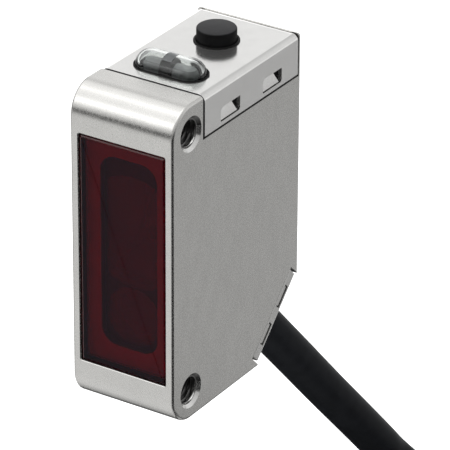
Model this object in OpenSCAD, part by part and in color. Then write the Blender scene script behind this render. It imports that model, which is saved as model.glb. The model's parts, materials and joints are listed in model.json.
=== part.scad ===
// Miniature photoelectric sensor in a stainless-steel block housing.
// X runs across the width, Y from the front window towards the rear wall, Z up.
// The origin is midway between the two M3 mounting holes, on the centre plane.

/* [Housing] */
// Width across the two flat sides
body_w = 10.8; // [10.7:0.1:11.6]
// Depth from the front face to the rear wall
body_d = 20.8; // [20.8:0.1:22]
// Distance between the two mounting holes
hole_pitch = 25.4; // [25.2:0.1:26.4]
// Radius of the rounded front corners, on the same centres as the mounting holes
corner_r = 2.8; // [2.7:0.05:2.9]
// Radius of the plain bore of an M3 thread
thread_r = 1.25; // [1.2:0.01:1.3]
// Radius of the countersunk mouth of a mounting hole
mouth_r = 1.65; // [1.5:0.05:1.8]
// Side wall thickness of the case
wall = 1.0; // [0.9:0.05:1.05]

/* [Front window] */
// Width of the filter panel
window_w = 8.9; // [8.4:0.1:9]
// Height of the filter panel
window_h = 22.4; // [21.6:0.1:22.4]
// Thickness of the filter panel
window_t = 1.0; // [0.8:0.05:1.1]
// Width of the light opening behind the panel
light_w = 5.9; // [5.6:0.1:6.2]
// Height of the light opening behind the panel
light_h = 18.6; // [18.2:0.1:19]

/* [Top cover] */
// Sheet thickness of the cover
lid_t = 0.4; // [0.3:0.05:0.4]
// Height of the cover's side flaps
flap_h = 4.0; // [3.8:0.1:4.2]
// Outer radius of the cover's long folds
fold_r = 0.7; // [0.6:0.05:0.8]
// Distance from the front face to the cover's front edge
lid_setback = 4.9; // [4.9:0.05:5.1]

/* [Cable corner] */
// Leg of the 45 degree corner at the lower rear
chamfer = 6.7; // [6.6:0.05:6.8]
// Length of the cable cover plate down the corner
plate_l = 8.8; // [8.6:0.1:8.8]
// Sheet thickness of the cable cover plate
plate_t = 0.35; // [0.3:0.05:0.35]

/* [Teach button] */
// Radius of the button cap
cap_r = 1.83; // [1.75:0.01:1.83]
// Height of the cap above the cover
cap_h = 1.3; // [1.1:0.1:1.5]
// Distance from the mounting hole axis back to the button axis
button_y = 12.4; // [12.2:0.1:12.5]
// Travel of the button
button_travel = 0.5; // [0.3:0.05:0.5]

/* [Indicator] */
// Radius of the capsule-shaped dome
dome_r = 1.6; // [1.5:0.05:1.65]
// Half the distance between the dome's round ends
dome_c = 1.9; // [1.8:0.02:1.9]
// Distance from the mounting hole axis back to the dome axis
dome_y = 5.05; // [5:0.05:5.2]

/* [Cable] */
// Outer diameter of the cable
cable_d = 4; // [3.8:0.1:4]
// Radius of the outermost turns of the coiled cable
coil_r = 31; // [31:0.5:32]
// Number of turns side by side in the coil
coil_columns = 3; // [3:1:3]
// Number of turns on top of each other in the coil
coil_levels = 4; // [4:1:4]

/* [Hidden] */
half_w = body_w / 2;
front_y = -corner_r;
back_y = body_d - corner_r;
top_z = hole_pitch / 2 + corner_r;
bottom_z = -top_z;
slit = 0.1;                         // gap between neighbouring sheet edges
over = 1;                           // overlap that lets a cut run clear through

// Case
rear_wall = 0.8;
rear_lip = 0.4;
block_back = front_y + lid_setback;   // rear face of the two blocks that hold the threads
block_z = 10.9;                     // inner face of those blocks
ledge_front = front_y + 1.25;       // front of the ledge that carries the window
ledge_back = front_y + 1.8;
pocket_gap = 0.03;
lid_seam_z = top_z - flap_h;
lid_under = top_z - lid_t;
lid_back = back_y - rear_lip - slit;
step_x = half_w - lid_t - slit;     // side wall behind the cover's flaps

// Latch windows: first edge of each one, and their shared size
latch_ys = [block_back + 2.65, block_back + 9.5];
latch_l = 3.12;
latch_h = 1.35;
latch_z = lid_seam_z + 0.45;
ramp_l = 2.25;
ramp_out = 0.42;

// Corner frame: u points out of the 45 degree face, s runs up along it
corner_u = (back_y - bottom_z - chamfer) / sqrt(2);
cover_s = 1.8;                      // middle of the cable cover
cover_u = corner_u - 0.3;           // outer face of the cable cover
skirt_u = cover_u - 1.3;            // free edge of its side flaps
notch_gap = 0.25;
plate_x = half_w - plate_t - slit;
clip_s = 1.9;                       // latch windows either side of the cover's middle
clip_l = 2.2;
clip_u = skirt_u + 0.33;
clip_h = 0.46;
spigot_r = 2.3;
exit_point = [0, 15.4, -11.5];      // where the cable leaves its bush
exit_u = (exit_point.y - exit_point.z) / sqrt(2);
exit_s = (exit_point.y + exit_point.z) / sqrt(2);

// Optics
receiver_z = 1.95;
receiver_r = 5.45;
emitter_z = -6.4;
emitter_r = 2.85;
lens_w = 5.5;
lens_front = ledge_back + 0.1;
lens_t = 1.1;
lens_rim = 0.6;
optics_board_y = 5.6;
board_t = 0.6;

// Boards and switch
board_z = top_z - 4.9;              // underside of the indicator board
board_top = board_z + board_t;
main_x = -3.0;
switch_top = board_top + 1.1;
stem_z = switch_top - 0.35;
stem_h = 0.8;
plunger_z = stem_z + stem_h;
cap_z = top_z - 1.3;                // underside of the cap's flange

// Cable route, coil and free end
cable_r = cable_d / 2;
route = [exit_point, [0, 16.4, -12.5], [0, 20.5, -16.9], [0, 26.5, -23.3], [0, 32, -29.2],
         [0, 37.5, -35], [0, 42.5, -40.3], [0, 45.5, -43.5], [1.4, 50.2, -48.5],
         [5.3, 54.2, -52.8], [11.1, 56.9, -55.6], [18, 57.8, -56.6]];
route_up = [0, 1, 1];
coil_x = 18;
coil_y = 57.8 - coil_r;
coil_top = -56.6 + cable_r;
coil_h = coil_levels * cable_d;
coil_w = coil_columns * cable_d;
floor_z = coil_top - coil_h;
tail_z = floor_z + cable_r;
tail = [[48.5, 21.4, tail_z], [47.1, 15.6, tail_z], [44.9, 10, tail_z], [42, 4.7, tail_z],
        [38.5, -0.2, tail_z], [34.3, -4.5, tail_z], [29.6, -8.3, tail_z], [26.2, -10.4, tail_z]];
lead_r = 0.55;
lead_z = floor_z + lead_r;
tip_r = 0.4;
tip_z = floor_z + tip_r;
brown_lead = [[26.8, -10.8, tail_z + 0.4], [24.2, -13.4, tail_z - 0.7], [21.8, -16.4, lead_z],
              [19.1, -20.1, lead_z], [16.7, -24, lead_z]];
blue_lead = [[26.5, -10.3, tail_z - 0.6], [23.4, -12, lead_z], [20.3, -13.8, lead_z],
             [16.9, -16.3, lead_z], [13.4, -18.2, lead_z]];
black_lead = [[26.2, -9.7, tail_z + 0.4], [22.6, -10.6, tail_z - 0.7], [18.8, -11.2, lead_z],
              [14.3, -11.7, lead_z], [9.7, -11.8, lead_z]];
brown_tip = [[16.7, -24, lead_z], [15.6, -26, tip_z], [14.5, -28.1, tip_z]];
blue_tip = [[13.4, -18.2, lead_z], [11.5, -18.9, tip_z], [9.5, -19.6, tip_z]];
black_tip = [[9.7, -11.8, lead_z], [7.4, -11.8, tip_z], [5, -11.7, tip_z]];
tie_angle = 200;
tie_w = 1.8;
tie_t = 0.4;

// Insulated cores from the cable stub to the main board
core_r = 0.5;
core_x = main_x + board_t + core_r;
brown_core = [[-0.75, 11.7, -7.1], [-0.9, 10.8, -6.5], [-1.4, 9.8, -5.8], [core_x, 9.2, -4.9],
              [core_x, 9, -3.6]];
blue_core = [[0.65, 12, -7.1], [0.4, 11.5, -6.4], [-0.5, 11.5, -5.5], [core_x, 11, -4.7],
             [core_x, 10.9, -3.6]];
black_core = [[0, 10.9, -8.2], [-0.2, 9.8, -7.5], [-0.9, 8.7, -6.6], [core_x, 8, -5.6],
              [core_x, 7.8, -3.6]];

$fn = 64;

// ---- shared shapes ----

// Extrudes an outline drawn in (Y, Z) along X, centred on X = 0
module along_x(length) {
    rotate([90, 0, 90]) linear_extrude(length, center = true) children();
}

// Extrudes an outline drawn in (X, Z) along Y, centred on Y = 0
module along_y(length) {
    rotate([90, 0, 0]) linear_extrude(length, center = true) children();
}

// Box given by its lowest and highest corners
module block(low, high) {
    translate(low) cube(high - low);
}

// Outline with two round ends on the X axis
module stadium(r, c) {
    translate([-c, -r]) square([2 * c, 2 * r]);
    for (side = [-1, 1]) translate([side * c, 0]) circle(r);
}

// Frame of the 45 degree corner: x across, -y up along the face, z out of it
module on_corner(s) {
    rotate([-135, 0, 0]) translate([0, -s, 0]) children();
}

// Rounded rectangle
module round_rect(w, h, r) {
    square([w - 2 * r, h], center = true);
    square([w, h - 2 * r], center = true);
    for (sx = [-1, 1], sy = [-1, 1])
        translate([sx * (w / 2 - r), sy * (h / 2 - r)]) circle(r);
}

// Tube swept along a list of points
function unit(v) = v / norm(v);
function heading(p, i) = unit(p[min(i + 1, len(p) - 1)] - p[max(i - 1, 0)]);
function ring(p, i, r, n, ref) =
    let (t = heading(p, i), u = unit(ref - t * (ref * t)), v = cross(t, u))
    [for (k = [0 : n - 1]) p[i] + r * (cos(360 * k / n) * u + sin(360 * k / n) * v)];

module tube(p, r, n, ref = [0, 0, 1]) {
    last = (len(p) - 1) * n;
    skin = [for (i = [0 : len(p) - 2], k = [0 : n - 1])
        let (a = i * n + k, b = i * n + (k + 1) % n) [a, a + n, b + n, b]];
    ends = [[for (k = [0 : n - 1]) k], [for (k = [n - 1 : -1 : 0]) last + k]];
    polyhedron([for (i = [0 : len(p) - 1]) each ring(p, i, r, n, ref)], concat(skin, ends));
}

// ---- housing ----

module case_outline() {
    polygon([[0, bottom_z], [back_y - chamfer, bottom_z], [back_y, bottom_z + chamfer],
             [back_y, top_z], [0, top_z]]);
    translate([front_y, -hole_pitch / 2]) square([corner_r, hole_pitch]);
    for (side = [-1, 1]) translate([0, side * hole_pitch / 2]) circle(corner_r);
}

module cavity_outline() {
    low = bottom_z + wall;
    slant = (corner_u - 1.75) * sqrt(2);
    inner_back = back_y - rear_wall;
    translate([ledge_back, -block_z]) square([block_back - ledge_back + over, 2 * block_z]);
    polygon([[block_back, low], [low + slant, low], [inner_back, inner_back - slant],
             [inner_back, top_z + over], [block_back, top_z + over]]);
}

module mounting_bore() {
    depth = mouth_r - thread_r;
    rotate([0, 90, 0]) cylinder(body_w + 2 * over, r = thread_r, center = true);
    for (side = [-1, 1]) translate([side * (half_w - depth), 0, 0]) rotate([0, side * 90, 0])
        cylinder(2 * depth, thread_r, thread_r + 2 * depth);
}

// Room for the top cover, its folds and its two side flaps
module cover_step() {
    length = lid_back - block_back + 2 * slit;
    bend = fold_r - lid_t + 0.02;
    translate([0, block_back - slit + length / 2, 0]) along_y(length) {
        translate([bend - step_x, lid_under]) square([2 * (step_x - bend), lid_t + over]);
        for (side = [0, 1]) mirror([side, 0])
            polygon([[step_x, lid_seam_z - slit], [half_w + over, lid_seam_z - slit],
                     [half_w + over, top_z + over], [step_x - bend, top_z + over],
                     [step_x - bend, lid_under], [step_x, lid_under - bend]]);
    }
}

// Sloping catch that a latch window snaps over
module latch_ramp() {
    along_y(ramp_l) polygon([[step_x - 0.2, latch_z + 0.05], [step_x + ramp_out, latch_z + 0.05],
                             [step_x, latch_z + latch_h], [step_x - 0.2, latch_z + latch_h]]);
}

module plate_recess() {
    length = plate_l + 2 * notch_gap;
    on_corner(cover_s) {
        translate([-half_w - over, -length / 2, cover_u - plate_t - 0.02])
            cube([body_w + 2 * over, length, 3]);
        for (side = [0, 1]) mirror([side, 0, 0])
            translate([plate_x, -length / 2, skirt_u - slit]) cube([2, length, 3]);
        translate([-4.3, -3.6, corner_u - 4]) cube([8.6, 7.2, 5]);
    }
}

module clip_ramp() {
    along_y(clip_l - 0.3) polygon([[plate_x - 0.2, clip_u + 0.04], [plate_x + 0.33, clip_u + 0.04],
                                   [plate_x, clip_u + clip_h - 0.08],
                                   [plate_x - 0.2, clip_u + clip_h - 0.08]]);
}

module front_case() {
    color([0.78, 0.78, 0.76]) difference() {
        union() {
            difference() {
                along_x(body_w) case_outline();
                cover_step();
                plate_recess();
            }
            for (side = [0, 1]) mirror([side, 0, 0]) {
                for (y = latch_ys) translate([0, y + 0.05 + ramp_l / 2, 0]) latch_ramp();
                for (s = [-clip_s, clip_s]) on_corner(cover_s + s) clip_ramp();
            }
        }
        along_x(body_w - 2 * wall) cavity_outline();
        translate([0, (front_y + ledge_front) / 2 - over / 2, 0])
            cube([window_w + 2 * pocket_gap, ledge_front - front_y + over,
                  window_h + 2 * pocket_gap], center = true);
        translate([0, front_y + over, 0]) along_y(6) round_rect(light_w, light_h, 1.6);
        for (side = [-1, 1]) translate([0, 0, side * hole_pitch / 2]) mounting_bore();
    }
}

module lid_section() {
    outer = half_w - fold_r;
    inner_r = fold_r - lid_t;
    difference() {
        union() {
            translate([-half_w, lid_seam_z]) square([body_w, flap_h - fold_r]);
            translate([-outer, lid_seam_z]) square([2 * outer, flap_h]);
            for (side = [-1, 1]) translate([side * outer, top_z - fold_r]) circle(fold_r);
        }
        translate([lid_t - half_w, lid_seam_z - over])
            square([body_w - 2 * lid_t, flap_h + over - fold_r]);
        translate([-outer, lid_seam_z - over]) square([2 * outer, flap_h + over - lid_t]);
        for (side = [-1, 1]) translate([side * outer, top_z - fold_r]) circle(inner_r);
    }
}

module top_cover() {
    length = lid_back - block_back;
    color([0.86, 0.86, 0.85]) difference() {
        translate([0, block_back + length / 2, 0]) along_y(length) lid_section();
        translate([0, dome_y, lid_under - over]) linear_extrude(3) stadium(dome_r + 0.02, dome_c);
        translate([0, button_y, lid_under - over]) cylinder(3, r = cap_r + 0.14);
        for (y = latch_ys)
            block([-half_w - over, y, latch_z], [half_w + over, y + latch_l, latch_z + latch_h]);
    }
}

module plate_section() {
    bend = 0.3;
    difference() {
        union() {
            translate([-half_w, skirt_u]) square([body_w, cover_u - skirt_u - bend]);
            translate([bend - half_w, skirt_u]) square([body_w - 2 * bend, cover_u - skirt_u]);
            for (side = [-1, 1]) translate([side * (half_w - bend), cover_u - bend]) circle(bend);
        }
        translate([plate_t - half_w, skirt_u - over])
            square([body_w - 2 * plate_t, cover_u - skirt_u - plate_t + over]);
    }
}

module cable_cover() {
    color([0.80, 0.80, 0.78]) difference() {
        on_corner(cover_s) difference() {
            along_y(plate_l) plate_section();
            for (s = [-clip_s, clip_s]) translate([0, s, clip_u + clip_h / 2])
                cube([body_w + 2 * over, clip_l, clip_h], center = true);
        }
        on_corner(exit_s) translate([0, 0, corner_u - 3]) cylinder(5, r = spigot_r + 0.03);
    }
}

// ---- front window and optics ----

module front_window() {
    y = ledge_front - 0.15 - window_t;
    color([0.30, 0.04, 0.07, 0.9])
        block([-window_w / 2, y, -window_h / 2], [window_w / 2, y + window_t, window_h / 2]);
}

module window_seal() {
    color([0.72, 0.72, 0.70]) translate([0, ledge_front - 0.075, 0]) along_y(0.15) difference() {
        square([window_w - 0.2, window_h - 0.2], center = true);
        round_rect(light_w + 0.1, light_h + 0.1, 1.65);
    }
}

// Round lens outline cut straight at both sides, drawn in (X, Z)
module lens_outline(r, w) {
    intersection() {
        circle(r);
        square([w, 2 * r + over], center = true);
    }
}

// Plano-convex lens with its flat face to the front and a flat rim behind
module lens(r, bulge) {
    dome = r - lens_rim;
    ball = (dome * dome + bulge * bulge) / (2 * bulge);
    intersection() {
        union() {
            translate([0, lens_front + lens_t / 2, 0]) rotate([90, 0, 0])
                cylinder(lens_t, r = r, center = true);
            intersection() {
                translate([0, lens_front + lens_t + bulge - ball, 0]) sphere(ball);
                block([-r, lens_front + lens_t, -r], [r, lens_front + 4, r]);
            }
        }
        block([-lens_w / 2, lens_front - over, -r - over], [lens_w / 2, lens_front + 4, r + over]);
    }
}

module receiver_lens() {
    color([0.55, 0.20, 0.24, 0.6]) translate([0, 0, receiver_z]) lens(receiver_r, 1.3);
}

module emitter_lens() {
    color([0.55, 0.20, 0.24, 0.6]) translate([0, 0, emitter_z]) lens(emitter_r, 0.9);
}

module lens_holder() {
    back = optics_board_y - 0.03;
    pocket = lens_t + 0.05;
    color([0.10, 0.10, 0.11]) difference() {
        block([-4.3, lens_front - 0.05, -10.7], [4.3, back, 10.3]);
        translate([0, lens_front + pocket / 2 - 0.5, receiver_z]) along_y(pocket + 1)
            lens_outline(receiver_r + 0.02, lens_w + 0.04);
        translate([0, lens_front + pocket / 2 - 0.5, emitter_z]) along_y(pocket + 1)
            lens_outline(emitter_r + 0.02, lens_w + 0.04);
        translate([0, (back + over) / 2, receiver_z]) along_y(back + over)
            lens_outline(receiver_r - lens_rim + 0.02, lens_w + 0.04);
        translate([0, (back + over) / 2, emitter_z]) along_y(back + over)
            lens_outline(emitter_r - lens_rim + 0.02, lens_w + 0.04);
    }
}

module emitter_led() {
    color([0.85, 0.75, 0.70]) translate([0, optics_board_y, emitter_z]) {
        block([-0.9, -0.5, -0.9], [0.9, 0, 0.9]);
        translate([0, -0.5, 0]) rotate([90, 0, 0]) cylinder(0.4, 0.7, 0.45);
    }
}

module photodiode() {
    color([0.16, 0.12, 0.14]) translate([0, optics_board_y, receiver_z])
        block([-1.4, -0.9, -1.2], [1.4, 0, 1.2]);
}

module shield_can() {
    color([0.82, 0.82, 0.80]) translate([0, optics_board_y, receiver_z]) difference() {
        block([-2.1, -1.5, -2], [2.1, 0, 2]);
        block([-1.95, -1.35, -1.85], [1.95, over, 1.85]);
        rotate([90, 0, 0]) cylinder(3, r = 0.9);
    }
}

// ---- boards and electronics ----

module optics_board() {
    color([0.05, 0.32, 0.18]) difference() {
        block([-4.25, optics_board_y, -10.5], [4.25, optics_board_y + board_t, 10.2]);
        for (z = [-9.8, 9.5]) translate([0, optics_board_y + board_t / 2, z]) rotate([90, 0, 0])
            cylinder(board_t + over, r = 0.5, center = true);
    }
}

module main_board() {
    color([0.05, 0.32, 0.18]) block([main_x, 7.4, -6.2], [main_x + board_t, 16.8, 9.8]);
}

module indicator_board() {
    color([0.05, 0.32, 0.18]) block([-4.2, block_back + 0.4, board_z], [4.2, 16.8, board_top]);
}

// Pins that join the optics board to the main board
module board_header() {
    face = main_x + board_t;
    color([0.85, 0.70, 0.30]) for (i = [0 : 5]) translate([0, 0, 6.5 - 1.27 * i]) {
        block([face, 7.6, 0], [face + 0.4, 8.9, 0.4]);
        block([face, optics_board_y + board_t, 0], [face + 0.4, 7.6, 0.4]);
    }
}

module flex_link() {
    face = main_x + board_t;
    color([0.75, 0.45, 0.12]) {
        block([face, 12.6, 8.4], [face + 0.12, 15.4, board_z]);
        block([face, 12.6, board_z - 0.12], [face + 1.8, 15.4, board_z]);
    }
}

module control_ic() {
    face = main_x + board_t;
    color([0.09, 0.09, 0.10]) block([face, 9.8, 1.6], [face + 0.9, 13.8, 5.6]);
}

// Output transistors and the surge protector
module output_stage() {
    face = main_x + board_t;
    color([0.12, 0.12, 0.13]) for (i = [0 : 2]) translate([face, 12.2 + 1.5 * i, -3.4])
        block([0, -0.65, -1.4], [1.0, 0.65, 1.4]);
}

// Chip resistors and capacitors on both boards
module passives() {
    face = main_x + board_t;
    color([0.70, 0.62, 0.50]) {
        for (i = [0 : 3]) translate([face, 15.2, 6.6 - 1.7 * i])
            block([0, -0.4, -0.5], [0.55, 0.4, 0.5]);
        for (i = [0 : 2]) translate([face, 9.6 + 1.7 * i, -0.9])
            block([0, -0.5, -0.4], [0.55, 0.5, 0.4]);
        for (side = [-1, 1]) translate([side * 3.1, 8.6, board_top])
            block([-0.4, -0.5, 0], [0.4, 0.5, 0.5]);
    }
}

module chip_led() {
    translate([0, dome_y, board_top]) {
        block([-0.8, -0.4, 0], [0.8, 0.4, 0.25]);
        block([-0.5, -0.4, 0.25], [0.5, 0.4, 0.55]);
    }
}

module operation_led() {
    color([0.95, 0.55, 0.15]) translate([-2, 0, 0]) chip_led();
}

module stability_led() {
    color([0.35, 0.80, 0.35]) translate([2, 0, 0]) chip_led();
}

// ---- indicator window ----

module half_stadium(r, c, from_x) {
    translate([from_x, -r]) square([c - from_x, 2 * r]);
    translate([c, 0]) circle(r);
}

module light_guides() {
    color([0.92, 0.93, 0.92, 0.8]) for (side = [0, 1]) mirror([side, 0, 0])
        translate([0, dome_y, board_top + 0.6]) linear_extrude(4.0)
            half_stadium(dome_r - 0.55, dome_c, 0.65);
}

module light_divider() {
    r = dome_r - 0.45;
    color([0.08, 0.08, 0.09]) along_x(1.1) {
        translate([dome_y, top_z]) circle(r);
        translate([dome_y - r, board_top + 0.05]) square([2 * r, top_z - board_top - 0.05]);
    }
}

// Solid of revolution about X with two round ends
module capsule(r, c) {
    rotate([0, 90, 0]) rotate_extrude() intersection() {
        rotate(90) stadium(r, c);
        translate([0, -c - r]) square([r, 2 * (c + r)]);
    }
}

module indicator_lens() {
    inner = dome_r - 0.4;
    color([0.80, 0.82, 0.80, 0.5]) translate([0, dome_y, 0]) difference() {
        union() {
            intersection() {
                translate([0, 0, top_z]) capsule(dome_r, dome_c);
                block([-6, -3, top_z], [6, 3, top_z + 3]);
            }
            translate([0, 0, top_z - 0.9]) linear_extrude(0.95) stadium(dome_r - 0.04, dome_c);
            translate([0, 0, top_z - 0.9]) linear_extrude(0.48) stadium(dome_r + 0.22, dome_c);
        }
        translate([0, 0, top_z]) capsule(inner, dome_c);
        translate([0, 0, top_z - 2]) linear_extrude(2) stadium(inner - 0.02, dome_c);
    }
}

module indicator_gasket() {
    color([0.06, 0.06, 0.06]) translate([0, dome_y, top_z]) linear_extrude(0.14) difference() {
        stadium(dome_r + 0.16, dome_c);
        stadium(dome_r + 0.02, dome_c);
    }
}

// Seal under the rim of the top cover
module cover_gasket() {
    rim = 0.55;
    x = half_w - wall - 0.05;
    low = block_back + 0.05;
    high = back_y - rear_wall - 0.05;
    color([0.12, 0.12, 0.12]) difference() {
        block([-x, low, lid_under - 0.5], [x, high, lid_under - 0.02]);
        block([rim - x, low + rim, lid_under - over], [x - rim, high - rim, lid_under + over]);
    }
}

// ---- teach button and its switch ----

module button_cap() {
    edge = 0.12;
    color([0.10, 0.10, 0.11]) translate([0, button_y, 0]) rotate_extrude()
        polygon([[0, cap_z + 0.5], [1.25, cap_z + 0.5], [1.25, cap_z], [2.3, cap_z],
                 [2.3, cap_z + 0.4], [cap_r, cap_z + 0.4], [cap_r, top_z + cap_h - edge],
                 [cap_r - edge, top_z + cap_h], [0, top_z + cap_h]]);
}

module button_collar() {
    bore = cap_r + 0.05;
    color([0.07, 0.07, 0.07]) translate([0, button_y, 0]) rotate_extrude()
        polygon([[bore, lid_under - 0.45], [2.7, lid_under - 0.45], [2.7, lid_under - 0.01],
                 [cap_r + 0.12, lid_under - 0.01], [cap_r + 0.12, top_z + 0.01],
                 [cap_r + 0.27, top_z + 0.01], [cap_r + 0.27, top_z + 0.17],
                 [cap_r + 0.21, top_z + 0.23], [bore, top_z + 0.23]]);
}

module button_plunger() {
    color([0.85, 0.85, 0.82]) translate([0, button_y, 0]) {
        translate([0, 0, plunger_z]) cylinder(cap_z + 0.1 - plunger_z, r = 0.8);
        translate([0, 0, cap_z + 0.1]) cylinder(0.4, r = 1.23);
    }
}

module button_membrane() {
    low = cap_z - 0.85;
    color([0.15, 0.15, 0.15]) translate([0, button_y, 0]) rotate_extrude()
        polygon([[0.82, low], [3, low], [3, lid_under - 0.02], [2.75, lid_under - 0.02],
                 [2.75, low + 0.15], [0.82, low + 0.15]]);
}

module switch_body() {
    color([0.20, 0.20, 0.22]) translate([0, button_y, board_top]) difference() {
        block([-1.6, -1.4, 0], [1.6, 1.4, switch_top - board_top]);
        translate([0, 0, 0.2]) cylinder(3, r = 1.1);
    }
}

module snap_dome() {
    base = board_top + 0.22;
    rise = stem_z - 0.02 - base;
    r = 1.0;
    ball = (r * r + rise * rise) / (2 * rise);
    skin = 0.08;
    color([0.80, 0.80, 0.82]) translate([0, button_y, base]) intersection() {
        difference() {
            translate([0, 0, rise - ball]) sphere(ball);
            translate([0, 0, rise - ball]) sphere(ball - skin);
        }
        block([-2, -2, 0], [2, 2, 2]);
    }
}

module switch_stem() {
    color([0.90, 0.90, 0.88]) translate([0, button_y, stem_z]) cylinder(stem_h, r = 0.6);
}

// ---- cable entry ----

module cable_bush() {
    base = cover_u - plate_t - 0.02 - 2;
    color([0.05, 0.05, 0.05]) difference() {
        union() {
            on_corner(cover_s) translate([0, 0, base]) linear_extrude(1.96)
                round_rect(8.4, 7, 1);
            on_corner(exit_s) translate([0, 0, base + 1])
                cylinder(exit_u - base - 1, r = spigot_r);
        }
        on_corner(exit_s) translate([0, 0, base - over]) cylinder(6, r = cable_r + 0.01);
    }
}

module crimp_ring() {
    color([0.75, 0.75, 0.72]) on_corner(exit_s) translate([0, 0, corner_u - 3.95]) difference() {
        cylinder(1.2, r = 2.6);
        translate([0, 0, -over]) cylinder(4, r = cable_r + 0.01);
    }
}

module cable_stub() {
    color([0.08, 0.08, 0.09]) on_corner(exit_s) translate([0, 0, corner_u - 5.4])
        cylinder(exit_u - corner_u + 5.4, r = cable_r);
}

module core_brown() {
    color([0.36, 0.20, 0.10]) tube(brown_core, core_r, 8, [1, 0.3, 0]);
}

module core_blue() {
    color([0.10, 0.25, 0.65]) tube(blue_core, core_r, 8, [1, 0.3, 0]);
}

module core_black() {
    color([0.06, 0.06, 0.06]) tube(black_core, core_r, 8, [1, 0.3, 0]);
}

// ---- free cable ----

module cable() {
    color([0.08, 0.08, 0.09]) tube(route, cable_r, 12, route_up);
}

module cable_coil() {
    color([0.08, 0.08, 0.09]) translate([coil_x, coil_y, floor_z]) rotate_extrude()
        translate([coil_r + cable_r - coil_w, 0]) square([coil_w, coil_h]);
}

module cable_tail() {
    color([0.08, 0.08, 0.09]) tube(tail, cable_r, 12);
}

// Band around the bundle of turns
module coil_tie() {
    color([0.12, 0.12, 0.12]) translate([coil_x, coil_y, 0]) rotate([0, 0, tie_angle])
        translate([coil_r + cable_r - coil_w / 2, 0, coil_top - coil_h / 2]) difference() {
            cube([coil_w + 0.1 + 2 * tie_t, tie_w, coil_h + 2 * tie_t], center = true);
            cube([coil_w + 0.1, tie_w + over, coil_h], center = true);
        }
}

module lead_brown() {
    color([0.36, 0.20, 0.10]) tube(brown_lead, lead_r, 8);
}

module lead_blue() {
    color([0.10, 0.25, 0.65]) tube(blue_lead, lead_r, 8);
}

module lead_black() {
    color([0.06, 0.06, 0.06]) tube(black_lead, lead_r, 8);
}

module lead_tips() {
    color([0.80, 0.80, 0.82]) for (tip = [brown_tip, blue_tip, black_tip]) tube(tip, tip_r, 8);
}

front_case();
top_cover();
cable_cover();
front_window();
window_seal();
lens_holder();
receiver_lens();
emitter_lens();
emitter_led();
photodiode();
shield_can();
optics_board();
main_board();
indicator_board();
board_header();
flex_link();
control_ic();
output_stage();
passives();
operation_led();
stability_led();
light_guides();
light_divider();
indicator_lens();
indicator_gasket();
cover_gasket();
button_cap();
button_collar();
button_plunger();
button_membrane();
switch_body();
snap_dome();
switch_stem();
cable_bush();
crimp_ring();
cable_stub();
core_brown();
core_blue();
core_black();
cable();
cable_coil();
cable_tail();
coil_tie();
lead_brown();
lead_blue();
lead_black();
lead_tips();
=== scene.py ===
"""Miniature photoelectric sensor with its coiled cable: the detailed model."""
import json
import math
import bmesh
import bpy
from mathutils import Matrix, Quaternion, Vector


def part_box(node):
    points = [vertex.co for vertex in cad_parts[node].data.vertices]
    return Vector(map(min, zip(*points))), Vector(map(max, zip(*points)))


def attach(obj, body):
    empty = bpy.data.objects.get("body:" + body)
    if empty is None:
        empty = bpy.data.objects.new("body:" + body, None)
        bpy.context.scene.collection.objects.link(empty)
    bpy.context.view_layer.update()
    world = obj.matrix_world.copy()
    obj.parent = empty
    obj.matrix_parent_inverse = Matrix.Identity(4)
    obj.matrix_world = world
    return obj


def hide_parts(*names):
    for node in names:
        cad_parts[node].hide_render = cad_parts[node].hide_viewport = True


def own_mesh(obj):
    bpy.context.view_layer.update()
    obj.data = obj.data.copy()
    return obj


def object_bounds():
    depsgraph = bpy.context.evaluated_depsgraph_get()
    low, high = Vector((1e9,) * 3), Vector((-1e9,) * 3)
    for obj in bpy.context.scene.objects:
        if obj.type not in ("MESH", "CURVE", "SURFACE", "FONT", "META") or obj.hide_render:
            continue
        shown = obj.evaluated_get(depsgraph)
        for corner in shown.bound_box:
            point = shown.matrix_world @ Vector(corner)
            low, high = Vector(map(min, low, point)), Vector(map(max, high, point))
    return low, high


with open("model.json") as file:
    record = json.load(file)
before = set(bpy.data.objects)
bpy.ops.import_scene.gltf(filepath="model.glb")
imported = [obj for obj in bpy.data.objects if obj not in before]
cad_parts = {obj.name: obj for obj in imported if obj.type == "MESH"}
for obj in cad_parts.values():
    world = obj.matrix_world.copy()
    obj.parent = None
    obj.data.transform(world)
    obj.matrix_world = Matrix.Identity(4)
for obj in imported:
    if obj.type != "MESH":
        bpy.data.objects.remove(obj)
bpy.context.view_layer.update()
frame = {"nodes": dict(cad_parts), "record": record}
MM = 0.001
ROOT2 = math.sqrt(2)
HOUSING, BUTTON = "housing", "button"


def span(node):
    """Lowest and highest corner of a CAD node, in millimetres."""
    low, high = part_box(node)
    return low / MM, high / MM


# ---- measures, in millimetres, from the frame ----
mounts = {m["name"]: m for m in frame["record"]["mounts"]}
HOLE_Z = mounts["upper_thread"]["pos_m"][2] / MM
THREAD_R = mounts["upper_thread"]["dims"]["r_mm"]
case_low, case_high = span("front_case")
HALF_W = case_high.x
FRONT_Y, BACK_Y = case_low.y, case_high.y
TOP_Z = case_high.z
CORNER_R = TOP_Z - HOLE_Z
lid_low, lid_high = span("top_cover")
LID_FRONT, LID_BACK, LID_SEAM = lid_low.y, lid_high.y, lid_low.z
LID_T = 0.4
LID_UNDER = TOP_Z - LID_T
FOLD_R = 0.7
SLIT = 0.1
SEAM, SEAM_Y = 0.04, 0.10          # each seam is a little wider on both sides
CHAMFER = 6.7
CORNER_U = (BACK_Y + TOP_Z - CHAMFER) / ROOT2

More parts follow.
